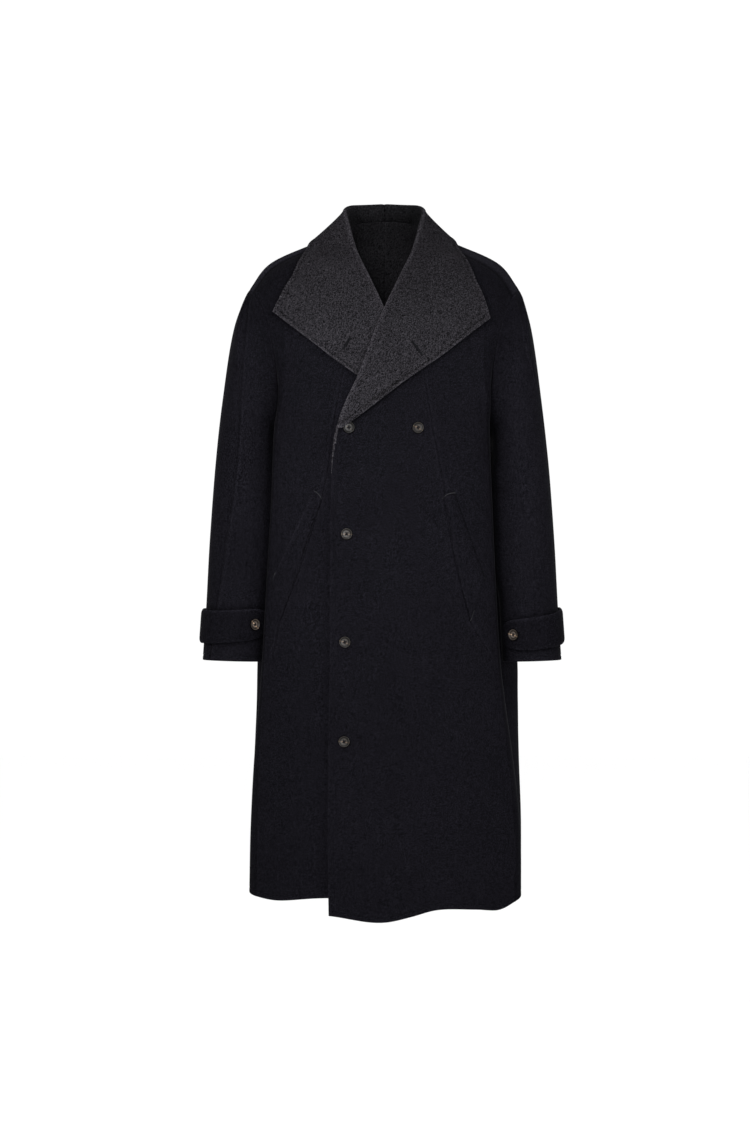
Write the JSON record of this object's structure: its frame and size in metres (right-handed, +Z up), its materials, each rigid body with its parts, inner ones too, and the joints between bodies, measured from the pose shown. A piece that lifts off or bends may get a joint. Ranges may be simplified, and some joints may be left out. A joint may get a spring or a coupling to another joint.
{
  "type": "wool coat",
  "caption": "Long double-breasted wool coat worn hollow, with a wide turned-out collar showing the cloth's grey reverse, buttoned cuff straps and slanted welt pockets.",
  "frame": {"origin": "where the coat hangs on its wearer: midway between the shoulder points, at the height of the front neck", "axes": "+Z up along the wearer, -Y the way the coat faces, +X to the wearer's left"},
  "size_m": [0.6331, 0.3071, 1.2405],
  "materials": {
    "wool_black": "matte napped wool",
    "wool_grey": "matte melange wool, the cloth's reverse",
    "button_horn": "polished dark horn"
  },
  "bodies": {
    "root": {"back_left": "wool_black", "back_right": "wool_black", "button_chest": "button_horn", "button_cuff_left": "button_horn", "button_cuff_right": "button_horn", "button_lap_1": "button_horn", "button_lap_2": "button_horn", "button_lap_3": "button_horn", "button_lap_4": "button_horn", "collar_left": "wool_grey", "collar_right": "wool_grey", "cuff_strap_left": "wool_black", "cuff_strap_right": "wool_black", "front_left": "wool_black", "front_right": "wool_black", "pocket_welt_left": "wool_black", "pocket_welt_right": "wool_black", "sleeve_back_left": "wool_black", "sleeve_back_right": "wool_black", "sleeve_front_left": "wool_black", "sleeve_front_right": "wool_black"}
  },
  "joints": []
}
